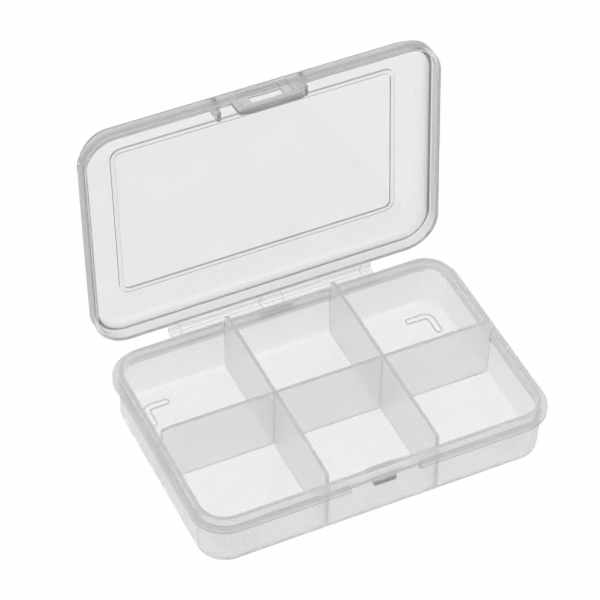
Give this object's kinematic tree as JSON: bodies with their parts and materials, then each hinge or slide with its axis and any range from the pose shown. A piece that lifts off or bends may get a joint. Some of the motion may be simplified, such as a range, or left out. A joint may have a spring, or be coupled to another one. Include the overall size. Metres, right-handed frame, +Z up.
{
  "type": "compartment box",
  "caption": "Small rectangular tackle box in translucent plastic, divided into open compartments, with a hinged lid standing open and a snap tab.",
  "frame": {"origin": "on the surface that the box stands on, below the middle of the open box's bounding box; the tray's middle is 7.1 mm in front of it", "axes": "+X along the box, -Y to the latch side and +Y to the hinge side, +Z up; the lid stands open by 94.2 degrees at rest"},
  "size_m": [0.1, 0.0814, 0.0859],
  "materials": {
    "natural_polypropylene": "satin"
  },
  "bodies": {
    "tray": {"tray_shell": "natural_polypropylene", "long_divider": "natural_polypropylene", "left_front_divider": "natural_polypropylene", "left_rear_divider": "natural_polypropylene", "right_front_divider": "natural_polypropylene", "right_rear_divider": "natural_polypropylene", "catch_wedge": "natural_polypropylene", "left_ledge_web": "natural_polypropylene", "right_ledge_web": "natural_polypropylene", "front_left_foot": "natural_polypropylene", "front_right_foot": "natural_polypropylene", "rear_left_foot": "natural_polypropylene", "rear_right_foot": "natural_polypropylene", "gate_nub": "natural_polypropylene", "tray_hinge_leaf": "natural_polypropylene", "hinge_film": "natural_polypropylene"},
    "lid": {"lid_shell": "natural_polypropylene", "stacking_ridge": "natural_polypropylene", "left_locating_fin": "natural_polypropylene", "right_locating_fin": "natural_polypropylene", "lid_hinge_leaf": "natural_polypropylene", "latch_film": "natural_polypropylene"},
    "latch": {"latch_tab": "natural_polypropylene", "grip_lip": "natural_polypropylene"}
  },
  "joints": [
    {"name": "lid_hinge", "type": "hinge", "parent": "tray", "child": "lid", "pos_m": [0, 0.02866, 0.0152], "axis": [-1, 0, 0], "range_deg": [-94.2, 85.8]},
    {"name": "latch_flex", "type": "hinge", "parent": "lid", "child": "latch", "pos_m": [0, 0.03658, 0.08343], "axis": [-1, 0, 0], "range_deg": [0, 12], "stiffness_Nm_per_rad": 0.002}
  ]
}
